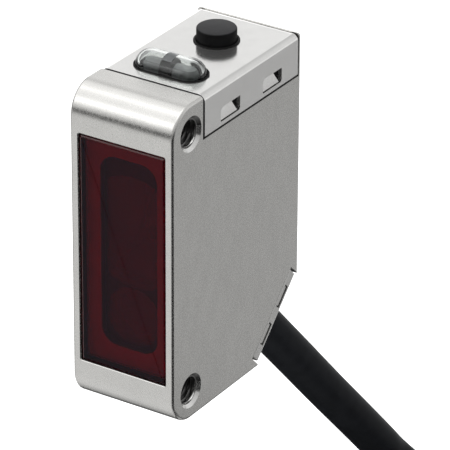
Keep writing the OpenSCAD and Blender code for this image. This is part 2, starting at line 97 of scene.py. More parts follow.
# ---- camera ----
VIEW_AZIMUTH, VIEW_ELEVATION, VIEW_ROLL = (math.radians(a) for a in (32.67, 27.26, 0.29))
VIEW_DISTANCE = 358.5
AIM_Y, AIM_RIGHT, AIM_DOWN = 7.5, 3.467, 0.742      # middle of the view, off the origin
camera = bpy.data.objects.new("camera", bpy.data.cameras.new("camera"))
bpy.context.scene.collection.objects.link(camera)
bpy.context.scene.camera = camera
camera.data.lens = 320
camera.data.sensor_width = 36
camera.data.clip_start = 0.01
camera.data.clip_end = 20
view_back = Vector((math.sin(VIEW_AZIMUTH) * math.cos(VIEW_ELEVATION),
                    -math.cos(VIEW_AZIMUTH) * math.cos(VIEW_ELEVATION),
                    math.sin(VIEW_ELEVATION)))
view_right = Vector((math.cos(VIEW_AZIMUTH), math.sin(VIEW_AZIMUTH), 0))
view_target = (Vector((0, AIM_Y, 0)) + view_right * AIM_RIGHT
               - view_back.cross(view_right) * AIM_DOWN)
camera.location = (view_target + view_back * VIEW_DISTANCE) * MM
camera.rotation_euler = (view_back.to_track_quat("Z", "Y")
                         @ Quaternion((0, 0, 1), VIEW_ROLL)).to_euler()


# ---- materials ----

def node_material(name, colour, roughness, metallic=0.0, **sockets):
    """New Principled material and its shader node."""
    material = bpy.data.materials.new(name)
    material.use_nodes = True
    shader = material.node_tree.nodes["Principled BSDF"]
    shader.inputs["Base Color"].default_value = (*colour, 1)
    shader.inputs["Roughness"].default_value = roughness
    shader.inputs["Metallic"].default_value = metallic
    for socket, value in sockets.items():
        shader.inputs[socket.replace("_", " ")].default_value = value
    return material, shader


def noise(material, grain, stretch=(1, 1, 1), detail=4.0, rough=0.55):
    """Noise in object space, grain being the size of its features in millimetres."""
    nodes, links = material.node_tree.nodes, material.node_tree.links
    coords = nodes.new("ShaderNodeTexCoord")
    mapping = nodes.new("ShaderNodeMapping")
    mapping.inputs["Scale"].default_value = [1 / (grain * s * MM) for s in stretch]
    texture = nodes.new("ShaderNodeTexNoise")
    texture.inputs["Scale"].default_value = 1
    texture.inputs["Detail"].default_value = detail
    texture.inputs["Roughness"].default_value = rough
    links.new(coords.outputs["Object"], mapping.inputs["Vector"])
    links.new(mapping.outputs["Vector"], texture.inputs["Vector"])
    return texture.outputs["Fac"]


def spread(material, factor, low, high, socket, shader):
    """Sends a 0 to 1 factor to a shader socket as low to high."""
    nodes, links = material.node_tree.nodes, material.node_tree.links
    span_node = nodes.new("ShaderNodeMapRange")
    span_node.inputs["From Min"].default_value = 0.3
    span_node.inputs["From Max"].default_value = 0.7
    span_node.inputs["To Min"].default_value = low
    span_node.inputs["To Max"].default_value = high
    links.new(factor, span_node.inputs["Value"])
    links.new(span_node.outputs["Result"], shader.inputs[socket])


def tone(material, factor, dark, light, shader):
    """Base colour that goes from dark to light with a factor."""
    nodes, links = material.node_tree.nodes, material.node_tree.links
    ramp = nodes.new("ShaderNodeValToRGB")
    ramp.color_ramp.elements[0].position = 0.3
    ramp.color_ramp.elements[1].position = 0.7
    ramp.color_ramp.elements[0].color = (*dark, 1)
    ramp.color_ramp.elements[1].color = (*light, 1)
    links.new(factor, ramp.inputs["Fac"])
    links.new(ramp.outputs["Color"], shader.inputs["Base Color"])


def relief(material, factor, depth, shader, strength=1.0):
    """Bump of a given depth in millimetres."""
    nodes, links = material.node_tree.nodes, material.node_tree.links
    bump = nodes.new("ShaderNodeBump")
    bump.inputs["Strength"].default_value = strength
    bump.inputs["Distance"].default_value = depth * MM
    links.new(factor, bump.inputs["Height"])
    links.new(bump.outputs["Normal"], shader.inputs["Normal"])


def shaded(colour, amount):
    return tuple(c * amount for c in colour)


def finish(name, colour, roughness, grain, depth, metallic=0.0, stretch=(1, 1, 1),
           contrast=0.08, rough_spread=0.06, **sockets):
    """Opaque surface whose colour, roughness and relief all vary with one grain."""
    material, shader = node_material(name, colour, roughness, metallic, **sockets)
    fine = noise(material, grain, stretch)
    broad = noise(material, grain * 12, stretch, 2.0)
    tone(material, broad, shaded(colour, 1 - contrast), shaded(colour, 1 + contrast), shader)
    spread(material, fine, roughness - rough_spread, roughness + rough_spread, "Roughness", shader)
    relief(material, fine, depth, shader)
    return material


EDGE_POWER, EDGE_GLOSS = 5, 0.7      # how fast and how far gloss rises towards a grazing look


def see_through(name, tint, roughness, mirror=0.04, body=0.0, body_colour=(0, 0, 0), grain=0.8,
                depth=0.002):
    """Clear moulding: light passes straight through its tint and body, under a glossy skin."""
    material, inside = node_material(name, body_colour, 0.5, Specular_IOR_Level=0.0)
    nodes, links = material.node_tree.nodes, material.node_tree.links
    clear = nodes.new("ShaderNodeBsdfTransparent")
    clear.inputs["Color"].default_value = (*tint, 1)
    milk = nodes.new("ShaderNodeMixShader")
    milk.inputs["Fac"].default_value = body
    skin = nodes.new("ShaderNodeBsdfPrincipled")
    skin.inputs["Base Color"].default_value = (1, 1, 1, 1)
    skin.inputs["Metallic"].default_value = 1
    skin.inputs["Roughness"].default_value = roughness
    facing = nodes.new("ShaderNodeLayerWeight")
    grazing = nodes.new("ShaderNodeMath")
    grazing.operation = "POWER"
    grazing.inputs[1].default_value = EDGE_POWER
    gloss = nodes.new("ShaderNodeMath")
    gloss.operation = "MULTIPLY_ADD"
    gloss.inputs[1].default_value = EDGE_GLOSS
    gloss.inputs[2].default_value = mirror
    mix = nodes.new("ShaderNodeMixShader")
    links.new(clear.outputs["BSDF"], milk.inputs[1])
    links.new(inside.outputs["BSDF"], milk.inputs[2])
    links.new(facing.outputs["Facing"], grazing.inputs[0])
    links.new(grazing.outputs["Value"], gloss.inputs[0])
    links.new(gloss.outputs["Value"], mix.inputs["Fac"])
    links.new(milk.outputs["Shader"], mix.inputs[1])
    links.new(skin.outputs["BSDF"], mix.inputs[2])
    links.new(mix.outputs["Shader"], nodes["Material Output"].inputs["Surface"])
    relief(material, noise(material, grain), depth, skin, 0.5)
    return material


CASE_STEEL = finish("case_steel", (0.70, 0.693, 0.672), 0.26, 0.12, 0.0014, 0.96,
                    stretch=(2, 1, 2), contrast=0.03, rough_spread=0.05)
# Case steel made much darker: painted shade inside the threaded bores, on the window pocket's side
# walls and at the rear of the thread mouths.
THREAD_PAINTED_SHADE = finish("thread_steel_painted_shade", (0.20, 0.197, 0.193), 0.34, 0.30, 0.0005, 0.95)
# Lid steel; also put on the case's thread-mouth chamfers and latch ramps, where its lower roughness
# gives them a smoother finish and its lighter colour is a painted highlight.
LID_STEEL_AND_HIGHLIGHT = finish("lid_steel_and_painted_highlight", (0.84, 0.835, 0.822), 0.14, 0.11, 0.0034, 0.93,
                   contrast=0.02, rough_spread=0.03)
PLATE_STEEL = finish("plate_steel", (0.67, 0.665, 0.65), 0.20, 0.13, 0.003, 0.90,
                     contrast=0.02)
RED_FILTER = see_through("red_filter", (0.62, 0.12, 0.17), 0.06, mirror=0.013, body=0.05,
                         body_colour=(0.02, 0.015, 0.06))
# Lighter, milky copy of the red filter for the bevels that face the light: a painted highlight.
RED_BEVEL_PAINTED_LIGHT = see_through("red_bevel_painted_light", (0.55, 0.12, 0.17), 0.20, mirror=0.05, body=0.45,
                        body_colour=(0.16, 0.085, 0.088))
LENS_CLEAR = see_through("lens_clear", (0.86, 0.80, 0.78), 0.06, body=0.18,
                         body_colour=(0.42, 0.34, 0.34))
DOME_CLEAR = finish("dome_clear", (0.66, 0.68, 0.668), 0.03, 0.8, 0.001, contrast=0.02,
                    rough_spread=0.01, Transmission_Weight=1.0, IOR=1.49)
GUIDE_CLEAR = see_through("guide_clear", (0.80, 0.83, 0.83), 0.10, mirror=0.05, body=0.7,
                          body_colour=(0.40, 0.42, 0.425))
# Lighter copy of the guide plastic for the guides' upward faces: a painted highlight on their tops.
GUIDE_TOP_PAINTED_LIGHT = see_through("guide_top_painted_light", (0.80, 0.83, 0.83), 0.12, mirror=0.06, body=0.85,
                        body_colour=(0.70, 0.72, 0.73))
# One black for the cap in two copies: the top a little lighter as painted light, the sides darker as
# painted shade.
CAP_BLACK = finish("cap_black", (0.017, 0.017, 0.019), 0.46, 0.10, 0.014, contrast=0.2,
                   Specular_IOR_Level=0.2)
CAP_SIDE_PAINTED_SHADE = finish("cap_side_painted_shade", (0.0085, 0.0085, 0.009), 0.50, 0.10, 0.014, contrast=0.3,
                  Specular_IOR_Level=0.05)
RUBBER = finish("black_rubber", (0.004, 0.004, 0.004), 0.55, 0.12, 0.01, contrast=0.2,
                Specular_IOR_Level=0.2)
JACKET = finish("cable_jacket", (0.0098, 0.0106, 0.0124), 0.42, 0.14, 0.010, contrast=0.15,
                Specular_IOR_Level=0.02)
# Black plastic of the holder and the tie; also put on the window pocket's steel floor as painted shade.
BLACK_PLASTIC_AND_SHADE = finish("black_plastic_and_painted_shade", (0.031, 0.030, 0.030), 0.55, 0.10, 0.01, contrast=0.2)
DIVIDER = finish("divider_black", (0.008, 0.008, 0.009), 0.35, 0.10, 0.004, contrast=0.2,
                 Specular_IOR_Level=0.3)
# Grey copy of the black divider for its top faces: a painted highlight.
DIVIDER_TOP_PAINTED_LIGHT = finish("divider_top_painted_light", (0.32, 0.33, 0.35), 0.35, 0.10, 0.004)
EPOXY = finish("dark_epoxy", (0.045, 0.042, 0.045), 0.45, 0.08, 0.006, contrast=0.15)
TIN = finish("tin_plate", (0.72, 0.71, 0.69), 0.28, 0.12, 0.005, 1.0, contrast=0.05)
BOARD = finish("board_green", (0.02, 0.16, 0.07), 0.38, 0.25, 0.01, contrast=0.12)
GOLD = finish("gold_pins", (0.78, 0.58, 0.24), 0.25, 0.10, 0.002, 1.0)
FLEX = finish("flex_amber", (0.45, 0.22, 0.04), 0.30, 0.20, 0.004)
CERAMIC = finish("chip_ceramic", (0.48, 0.40, 0.30), 0.55, 0.06, 0.006, contrast=0.15)
# Body colour of the LEDs; also put on the light guides' inner ends as a painted reflection.
LED_WHITE_AND_GLINT = finish("led_body", (0.75, 0.72, 0.66), 0.35, 0.10, 0.002)
LED_ORANGE = finish("led_orange", (0.85, 0.36, 0.06), 0.30, 0.10, 0.002)
LED_GREEN = finish("led_green", (0.22, 0.62, 0.20), 0.30, 0.10, 0.002)
WHITE_PLASTIC = finish("white_plastic", (0.78, 0.77, 0.73), 0.42, 0.15, 0.004)
SEAL = finish("seal_film", (0.28, 0.12, 0.13), 0.6, 0.10, 0.004)
CORE_BROWN = finish("core_brown", (0.17, 0.065, 0.022), 0.42, 0.20, 0.006)
CORE_BLUE = finish("core_blue", (0.02, 0.09, 0.38), 0.42, 0.20, 0.006)
CORE_BLACK = finish("core_black", (0.015, 0.015, 0.016), 0.42, 0.20, 0.006)

SLOT_LOOKS = {
    "case_steel": CASE_STEEL, "cover_steel": LID_STEEL_AND_HIGHLIGHT, "red_filter": RED_FILTER,
    "seal_film": SEAL, "lens_plastic": LENS_CLEAR, "black_plastic": BLACK_PLASTIC_AND_SHADE,
    "led_body": LED_WHITE_AND_GLINT, "dark_epoxy": EPOXY, "tin_plate": TIN, "board_green": BOARD,
    "gold_pins": GOLD, "flex_amber": FLEX, "chip_ceramic": CERAMIC,
    "led_orange": LED_ORANGE, "led_green": LED_GREEN, "clear_plastic": GUIDE_CLEAR,
    "smoke_plastic": DOME_CLEAR, "black_rubber": RUBBER, "white_plastic": WHITE_PLASTIC,
    "cable_jacket": JACKET, "core_brown": CORE_BROWN, "core_blue": CORE_BLUE,
    "core_black": CORE_BLACK,
}
for part in frame["record"]["subparts"]:
    shown = frame["nodes"][part["node"]].data
    shown.materials.clear()
    shown.materials.append(SLOT_LOOKS[part["material_slot"]])


# ---- building blocks ----

def outline(corners, steps=8, inset=0.0):
    """Counter-clockwise outline through (a, b, radius) corners, moved inwards by inset."""
    points = []
    for i, (a, b, radius) in enumerate(corners):
        here = Vector((a, b))
        before = Vector(corners[i - 1][:2])
        after = Vector(corners[(i + 1) % len(corners)][:2])
        normals = [Vector((-d.y, d.x)) for d in ((here - before).normalized(),
                                                 (after - here).normalized())]
        turn = math.atan2(normals[0].cross(normals[1]), normals[0].dot(normals[1]))
        reach = (normals[0] + normals[1]) / (1 + normals[0].dot(normals[1]))
        if radius == 0:
            points.append(here + reach * inset)
            continue
        side = math.copysign(1, turn)
        centre = here + reach * radius * side
        for k in range(steps + 1):
            angle = turn * k / steps
            normal = Vector((normals[0].x * math.cos(angle) - normals[0].y * math.sin(angle),
                             normals[0].x * math.sin(angle) + normals[0].y * math.cos(angle)))
            points.append(centre - normal * side * (radius - side * inset))
    return points


def box_corners(low_a, low_b, high_a, high_b, radius=0.0):
    return [(low_a, low_b, radius), (high_a, low_b, radius), (high_a, high_b, radius),
            (low_a, high_b, radius)]


def stadium(radius, centre, b=0.0):
    """Corners of an outline with two round ends, centred on a = 0."""
    return box_corners(-centre - radius, b - radius, centre + radius, b + radius, radius)


def place(axis, a, b, h):
    """Point of an outline (a, b) at height h along one of the drawing axes."""
    if axis == "x":
        return Vector((h, a, b))
    if axis == "y":
        return Vector((a, h, b))
    if axis == "z":
        return Vector((a, b, h))
    if axis == "face":        # outline on the 45 degree corner, a across, b up along it
        return Vector((a, (h + b) / ROOT2, (b - h) / ROOT2))
    if axis == "side":        # outline in the side plane, a up along the corner, b out of it
        return Vector((h, (b + a) / ROOT2, (a - b) / ROOT2))
    return Vector((a, (b + h) / ROOT2, (h - b) / ROOT2))    # "slope": a across, b out of it


def solid(name, rings, closed=False):
    """Closed mesh through rings of points in millimetres, with flat ends unless closed."""
    count = len(rings[0])
    mesh = bpy.data.meshes.new(name)
    faces = []
    pairs = len(rings) if closed else len(rings) - 1
    for r in range(pairs):
        low, high = r * count, (r + 1) % len(rings) * count
        for k in range(count):
            nxt = (k + 1) % count
            faces.append((low + k, low + nxt, high + nxt, high + k))
    if not closed:
        faces.append(tuple(reversed(range(count))))
        faces.append(tuple(range((len(rings) - 1) * count, len(rings) * count)))
    mesh.from_pydata([p * MM for ring in rings for p in ring], [], faces)
    obj = bpy.data.objects.new(name, mesh)
    bpy.context.scene.collection.objects.link(obj)
    tidy_mesh(obj)
    return obj


def tidy_mesh(obj, sharp=30):
    """Welds, points the normals out and sets smooth shading between the sharp edges."""
    work = bmesh.new()
    work.from_mesh(obj.data)
    bmesh.ops.remove_doubles(work, verts=work.verts, dist=1e-7)
    bmesh.ops.recalc_face_normals(work, faces=work.faces)
    for face in work.faces:
        face.smooth = True
    for edge in work.edges:
        edge.smooth = edge.is_manifold and edge.calc_face_angle(0) < math.radians(sharp)
    work.to_mesh(obj.data)
    work.free()


def prism(name, corners, low, high, axis, edge=0.0, steps=8, edge_steps=3):
    """Prism of an outline, its two ends eased by a round edge."""
    rings = []
    if edge:
        for k in range(edge_steps + 1):
            angle = math.pi / 2 * k / edge_steps
            rings.append((low + edge * (1 - math.sin(angle)), edge * (1 - math.cos(angle))))
        rings = rings[::-1]
        rings += [(low + high - h, inset) for h, inset in rings[::-1]]
    else:
        rings = [(low, 0.0), (high, 0.0)]
    return solid(name, [[place(axis, p.x, p.y, h) for p in outline(corners, steps, inset)]
                        for h, inset in rings])


def turned(name, profile, centre, axis, steps=64, closed=True):
    """Solid of revolution of (radius, height) points about an axis through centre."""
    rings = []
    for k in range(steps):
        angle = 2 * math.pi * k / steps
        ring = []
        for radius, height in profile:
            a, b = radius * math.cos(angle), radius * math.sin(angle)
            ring.append(place(axis, centre[0] + a, centre[1] + b, height))
        rings.append(ring)
    return solid(name, rings, closed=closed)


def rounded_profile(points, steps=5):
    """Profile through (radius, height, rounding) points."""
    return [(p.x, p.y) for p in outline(points, steps)]


def settle(obj):
    """Applies the object's modifiers."""
    bpy.context.view_layer.update()
    graph = bpy.context.evaluated_depsgraph_get()
    mesh = bpy.data.meshes.new_from_object(obj.evaluated_get(graph))
    obj.modifiers.clear()
    obj.data = mesh


def combine(obj, others, operation="DIFFERENCE"):
    """Boolean of obj with other solids, which are used up."""
    for other in others:
        modifier = obj.modifiers.new("combine", "BOOLEAN")
        modifier.operation = operation
        modifier.solver = "EXACT"
        modifier.object = other
        settle(obj)
        bpy.data.objects.remove(other)
    return obj


def join(obj, others):
    """Adds the meshes of other objects to obj as loose parts of it."""
    work = bmesh.new()
    for part in [obj, *others]:
        work.from_mesh(part.data)
    work.to_mesh(obj.data)
    work.free()
    for other in others:
        bpy.data.objects.remove(other)


def ease_edges(obj, width, angle=40, segments=2):
    """Small round on every sharp edge."""
    modifier = obj.modifiers.new("ease", "BEVEL")
    modifier.width = width * MM
    modifier.segments = segments
    modifier.limit_method = "ANGLE"
    modifier.angle_limit = math.radians(angle)
    modifier.use_clamp_overlap = True
    settle(obj)


def piece(obj, look, nodes=(), body=HOUSING, sharp=30):
    """Gives a finished piece its material and its body, and hides the CAD nodes it stands for."""
    if obj.type == "MESH":
        tidy_mesh(obj, sharp)
        modifier = obj.modifiers.new("weighted", "WEIGHTED_NORMAL")
        modifier.keep_sharp = True
        settle(obj)
    obj.data.materials.clear()
    obj.data.materials.append(look)
    if nodes:
        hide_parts(*nodes)
    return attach(obj, body)


def repaint(obj, look, picks):
    """Gives the faces that picks() is true for a material of their own; here each such material adds
    painted light or shade.
    """
    obj.data.materials.append(look)
    index = len(obj.data.materials) - 1
    for face in obj.data.polygons:
        if picks(face):
            face.material_index = index


def strand(name, points, radius, resolution=6):
    """Round cord along points in millimetres."""
    curve = bpy.data.curves.new(name, "CURVE")
    curve.dimensions = "3D"
    curve.bevel_depth = radius * MM
    curve.bevel_resolution = 7
    curve.resolution_u = resolution
    curve.use_fill_caps = True
    spline = curve.splines.new("BEZIER")
    spline.bezier_points.add(len(points) - 1)
    for knot, point in zip(spline.bezier_points, points):
        knot.co = Vector(point) * MM
        knot.handle_left_type = knot.handle_right_type = "AUTO"
    obj = bpy.data.objects.new(name, curve)
    bpy.context.scene.collection.objects.link(obj)
    return obj


# ---- cable: straight out of the corner, down in a curve, then a tied coil ----
CABLE_R = 2.0
EXIT = Vector((0, 15.4, -11.5))
LEAD_IN = [EXIT, (0, 16.4, -12.5), (0, 20.5, -16.9), (0, 26.5, -23.3), (0, 32, -29.2),
           (0, 37.5, -35), (0, 42.5, -40.3), (0, 45.5, -43.5), (1.4, 50.2, -48.5),
           (5.3, 54.2, -52.8), (11.1, 56.9, -55.6)]
COIL_R = (31.0, 27.0, 23.0)
COIL_LEVELS = 4
COIL_X, COIL_Y = 18.0, 26.8
FLOOR_Z = span("cable_coil")[0].z
TAIL_Z = FLOOR_Z + CABLE_R
TAIL = [(x, y, TAIL_Z) for x, y in [(48.5, 21.4), (47.1, 15.6), (44.9, 10), (42, 4.7), (38.5, -0.2),
                                    (34.3, -4.5), (29.6, -8.3), (26.2, -10.4)]]
STEP_SPAN, STEP_LAG = 100, 20      # degrees that a change of turn takes, and between changes
TAIL_TURN = 100                    # degrees of the last turn before the tail leaves it


def coil_route():
    """Turns side by side and level on level, each change of place shared out round the ring."""
    seats = []
    for level in reversed(range(COIL_LEVELS)):
        columns = COIL_R if level % 2 else COIL_R[::-1]
        seats += [(radius, level) for radius in columns]
    points = []
    step = 15
    wound = 0
    while wound < 360 * (len(seats) - 1) + TAIL_TURN - step / 2:
        turn, within = divmod(wound, 360)
        radius, level = seats[turn]
        if turn + 1 < len(seats):
            next_radius, next_level = seats[turn + 1]
            middle = 360 - STEP_SPAN / 2 - 2 * STEP_LAG * (COIL_LEVELS - 1 - level)
            if next_level != level:
                middle -= STEP_LAG
            share = min(max((within - middle) / STEP_SPAN + 0.5, 0), 1)
            share = (1 - math.cos(math.pi * share)) / 2
            radius += (next_radius - radius) * share
            level += (next_level - level) * share
        angle = math.radians(90 - wound)
        points.append((COIL_X + radius * math.cos(angle), COIL_Y + radius * math.sin(angle),
                       TAIL_Z + 2 * CABLE_R * level))
        wound += step
    return points


cable = strand("cable_jacket", LEAD_IN + coil_route() + TAIL, CABLE_R)
piece(cable, JACKET, ["cable", "cable_coil", "cable_tail"])

LEAD_R, TIP_R = 0.55, 0.4
LEAD_Z, TIP_Z = FLOOR_Z + LEAD_R, FLOOR_Z + TIP_R
LEADS = {
    "brown": (CORE_BROWN, [(26.8, -10.8, TAIL_Z + 0.4), (24.2, -13.4, TAIL_Z - 0.7),
                           (21.8, -16.4, LEAD_Z), (19.1, -20.1, LEAD_Z), (16.7, -24, LEAD_Z)],
              [(16.7, -24, LEAD_Z), (15.6, -26, TIP_Z), (14.5, -28.1, TIP_Z)]),
    "blue": (CORE_BLUE, [(26.5, -10.3, TAIL_Z - 0.6), (23.4, -12, LEAD_Z), (20.3, -13.8, LEAD_Z),
                         (16.9, -16.3, LEAD_Z), (13.4, -18.2, LEAD_Z)],
             [(13.4, -18.2, LEAD_Z), (11.5, -18.9, TIP_Z), (9.5, -19.6, TIP_Z)]),
    "black": (CORE_BLACK, [(26.2, -9.7, TAIL_Z + 0.4), (22.6, -10.6, TAIL_Z - 0.7),
                           (18.8, -11.2, LEAD_Z), (14.3, -11.7, LEAD_Z), (9.7, -11.8, LEAD_Z)],
              [(9.7, -11.8, LEAD_Z), (7.4, -11.8, TIP_Z), (5, -11.7, TIP_Z)]),
}
on_cable = []
for colour, (look, lead_route, tip_route) in LEADS.items():
    lead = strand("core_end_" + colour, lead_route, LEAD_R)
    piece(lead, look, ["lead_" + colour])
    tip = strand("tinned_tip_" + colour, tip_route, TIP_R)
    piece(tip, TIN, ["lead_tips"])
    on_cable += [lead, tip]

TIE_ANGLE = math.radians(200)
TIE_W, TIE_T, TIE_GAP, TIE_BEND = 1.8, 0.4, 0.05, 1.9
tie_cos, tie_sin = math.cos(TIE_ANGLE), math.sin(TIE_ANGLE)
coil_half_w = (COIL_R[0] - COIL_R[-1]) / 2 + CABLE_R
coil_mid_r = (COIL_R[0] + COIL_R[-1]) / 2
coil_half_h = COIL_LEVELS * CABLE_R
tie_rings = []
for out, side in ((TIE_GAP, -1), (TIE_GAP + TIE_T, -1), (TIE_GAP + TIE_T, 1), (TIE_GAP, 1)):
    a, b = coil_half_w + out, coil_half_h + out - TIE_GAP
    tie_rings.append([
        Vector((COIL_X + (coil_mid_r + p.x) * tie_cos - side * TIE_W / 2 * tie_sin,
                COIL_Y + (coil_mid_r + p.x) * tie_sin + side * TIE_W / 2 * tie_cos,
                FLOOR_Z + coil_half_h + p.y))
        for p in outline(box_corners(-a, -b, a, b, TIE_BEND + out), 6)])
tie = solid("tie_band", tie_rings, closed=True)
ease_edges(tie, 0.1)
piece(tie, BLACK_PLASTIC_AND_SHADE, ["coil_tie"])
on_cable.append(tie)

# ---- case ----
FILLET = 0.3
PITCH = 0.5
GROOVE_END, GROOVE_MORE, RUN_OUT = 0.08, 0.17, 0.3      # thread depth: less near its two ends
MOUTH_R, MOUTH_D = 1.66, 0.28      # chamfer where the thread comes out
MOUTH_STEPS, MOUTH_TURN = 56, 0.37      # keeps the chamfer's corners off those of the thread
STEP_X = HALF_W - LID_T - SLIT
LEDGE_FRONT, LEDGE_BACK = FRONT_Y + 1.25, FRONT_Y + 1.8
window_low, window_high = span("front_window")
WINDOW_GAP, WINDOW_EASE = 0.07, 0.03
LIGHT_X, LIGHT_Z, LIGHT_R = 2.98, 9.33, 1.6
WINDOW_CORNER, WINDOW_CHAMFER, CHAMFER_LIFT = 0.12, 0.1, 0.045
WALL, REAR_WALL, CORNER_WALL = 1.0, 0.8, 1.75
BLOCK_Z = 10.9
CORNER_ROOM_X, CORNER_ROOM_S = 4.3, 3.6      # opening in the corner, behind the cable cover
INNER_FOLD = 0.32
LATCH_YS = (LID_FRONT + 2.65, LID_FRONT + 9.5)
LATCH_L, LATCH_H = 3.12, 1.35
LATCH_Z = LID_SEAM + 0.45
RAMP_GAP, RAMP_LOW_L, RAMP_HIGH_L = 0.1, 2.72, 2.1
plate_u = CORNER_U - 0.3
PLATE_T = 0.35
PLATE_S = 1.8
PLATE_HALF = 4.4
PLATE_X = HALF_W - PLATE_T - SLIT
SKIRT_U = plate_u - 1.3
NOTCH = 0.25
CLIP_S = (PLATE_S - 1.9, PLATE_S + 1.9)
CLIP_L, CLIP_H = 2.2, 0.56
CLIP_U = SKIRT_U + 0.22
CLIP_ROOM, CLIP_TAB = 1.08, 0.96      # half lengths of the room behind a clip slot and of its tab


def thread_core(name, z):
    """Solid whose outside is the M3 internal thread."""
    per_turn, around = 8, 48
    count = int((2 * HALF_W + 2) / PITCH * per_turn)
    rings = []
    for i in range(count + 1):
        x = -HALF_W - 1 + i * PITCH / per_turn
        groove = GROOVE_END + GROOVE_MORE * min(max((HALF_W - RUN_OUT - abs(x)) / RUN_OUT, 0), 1)
        ring = []
        for k in range(around):
            phase = (x / PITCH - k / around) % 1
            # flat root and crest, with flanks close to 60 degrees
            rise = min(max((0.5 - abs(phase - 0.5) - 0.125) / 0.3125, 0), 1)
            radius = THREAD_R + groove * rise
            angle = 2 * math.pi * k / around
            ring.append(Vector((x, radius * math.cos(angle), z + radius * math.sin(angle))))
        rings.append(ring)
    return solid(name, rings)


def thread_mouth(name, z, side):
    """Cone that opens the end of a thread."""
    rings = []
    for x, radius in ((HALF_W - MOUTH_D, MOUTH_R - MOUTH_D), (HALF_W + MOUTH_D, MOUTH_R + MOUTH_D)):
        rings.append([Vector((side * x, radius * math.cos(t), z + radius * math.sin(t)))
                      for t in (2 * math.pi * (k + MOUTH_TURN) / MOUTH_STEPS
                                for k in range(MOUTH_STEPS))])
    return solid(name, rings)


case_corners = [(FRONT_Y, -TOP_Z, CORNER_R), (BACK_Y - CHAMFER, -TOP_Z, FILLET + 0.02),
                (BACK_Y, CHAMFER - TOP_Z, FILLET + 0.02), (BACK_Y, TOP_Z, FILLET + 0.02),
                (FRONT_Y, TOP_Z, CORNER_R)]
case = prism("case_body", case_corners, -HALF_W, HALF_W, "x", FILLET, 24, 5)

step_z = LID_SEAM - SLIT - SEAM
lid_room = [(STEP_X, step_z, 0), (HALF_W + 1, step_z, 0), (HALF_W + 1, TOP_Z + 1, 0),
            (-HALF_W - 1, TOP_Z + 1, 0), (-HALF_W - 1, step_z, 0), (-STEP_X, step_z, 0),
            (-STEP_X, LID_UNDER - INNER_FOLD, 0), (INNER_FOLD - STEP_X, LID_UNDER, 0),
            (STEP_X - INNER_FOLD, LID_UNDER, 0), (STEP_X, LID_UNDER - INNER_FOLD, 0)]
slant = (CORNER_U - CORNER_WALL) * ROOT2
inner_low, inner_back = WALL - TOP_Z, BACK_Y - REAR_WALL
cavity = [(LID_FRONT, inner_low, 0), (inner_low + slant, inner_low, 0),
          (inner_back, inner_back - slant, 0), (inner_back, TOP_Z + 1, 0), (LID_FRONT, TOP_Z + 1, 0)]
pocket_low = (window_low.x - WINDOW_GAP, window_low.z - WINDOW_GAP)
pocket_high = (window_high.x + WINDOW_GAP, window_high.z + WINDOW_GAP)
chamfer_corners = box_corners(pocket_low[0], pocket_low[1] + CHAMFER_LIFT, *pocket_high, WINDOW_CORNER)
cuts = [
    prism("cut", lid_room, LID_FRONT - SLIT - SEAM_Y, LID_BACK + SLIT, "y"),
    prism("cut", cavity, WALL - HALF_W, HALF_W - WALL, "x"),
    prism("cut", box_corners(LEDGE_BACK, -BLOCK_Z, LID_FRONT + 0.5, BLOCK_Z), WALL - HALF_W,
          HALF_W - WALL, "x"),
    prism("cut", box_corners(*pocket_low, *pocket_high, WINDOW_CORNER), FRONT_Y - 1, LEDGE_FRONT, "y"),
    prism("cut", box_corners(-LIGHT_X, -LIGHT_Z, LIGHT_X, LIGHT_Z, LIGHT_R), FRONT_Y,
          LEDGE_BACK + 0.5, "y", steps=12),
    solid("cut", [[place("y", p.x, p.y, FRONT_Y + depth)
                   for p in outline(chamfer_corners, 8, depth - WINDOW_CHAMFER)]
                  for depth in (-0.02, WINDOW_CHAMFER)]),
]
plate_low, plate_high = PLATE_S - PLATE_HALF - NOTCH, PLATE_S + PLATE_HALF + NOTCH
skirt_end, plate_under = SKIRT_U - SLIT, plate_u - PLATE_T - 0.02
plate_room = [(PLATE_X, skirt_end, 0), (HALF_W + 1, skirt_end, 0), (HALF_W + 1, CORNER_U + 1, 0),
              (-HALF_W - 1, CORNER_U + 1, 0), (-HALF_W - 1, skirt_end, 0), (-PLATE_X, skirt_end, 0),
              (-PLATE_X, plate_under, 0), (PLATE_X, plate_under, 0)]
cuts += [
    prism("cut", plate_room, plate_low, plate_high, "slope"),
    prism("cut", box_corners(-CORNER_ROOM_X, PLATE_S - CORNER_ROOM_S, CORNER_ROOM_X,
                             PLATE_S + CORNER_ROOM_S), CORNER_U - 4, CORNER_U + 1, "face"),
]
for z in (-HOLE_Z, HOLE_Z):
    cuts += [thread_mouth("cut", z, side) for side in (-1, 1)]
    cuts.append(thread_core("cut", z))
for side in (-1, 1):
    for s in CLIP_S:
        cuts.append(prism("cut", box_corners(s - CLIP_ROOM, CLIP_U + 0.04, s + CLIP_ROOM,
                                             CLIP_U + CLIP_H - 0.02),
                          side * (PLATE_X - 0.7), side * HALF_W, "side"))
combine(case, cuts)

additions = []
for side in (-1, 1):
    for y in LATCH_YS:                     # ramps that hold the cover's latch windows
        rings = [[Vector((side * ramp_x, ramp_y, z))
                  for ramp_x, ramp_y in ((STEP_X - 0.2, y + RAMP_GAP), (out, y + RAMP_GAP),
                                         (out, y + end), (STEP_X - 0.2, y + end))]
                 for z, out, end in ((LATCH_Z + RAMP_GAP, HALF_W - 0.04, RAMP_LOW_L),
                                     (LATCH_Z + LATCH_H, STEP_X + 0.1, RAMP_HIGH_L))]
        additions.append(solid("ramp", rings))
        ease_edges(additions[-1], 0.05)
for side in (-1, 1):
    for s in CLIP_S:                       # tabs in the slots of the cable cover plate
        additions.append(prism("tab", box_corners(s - CLIP_TAB, CLIP_U + 0.03, s + CLIP_TAB,
                                                  CLIP_U + 0.36),
                               side * (PLATE_X - 0.3), side * (HALF_W - 0.06), "side"))
combine(case, additions, "UNION")
piece(case, CASE_STEEL, ["front_case"])


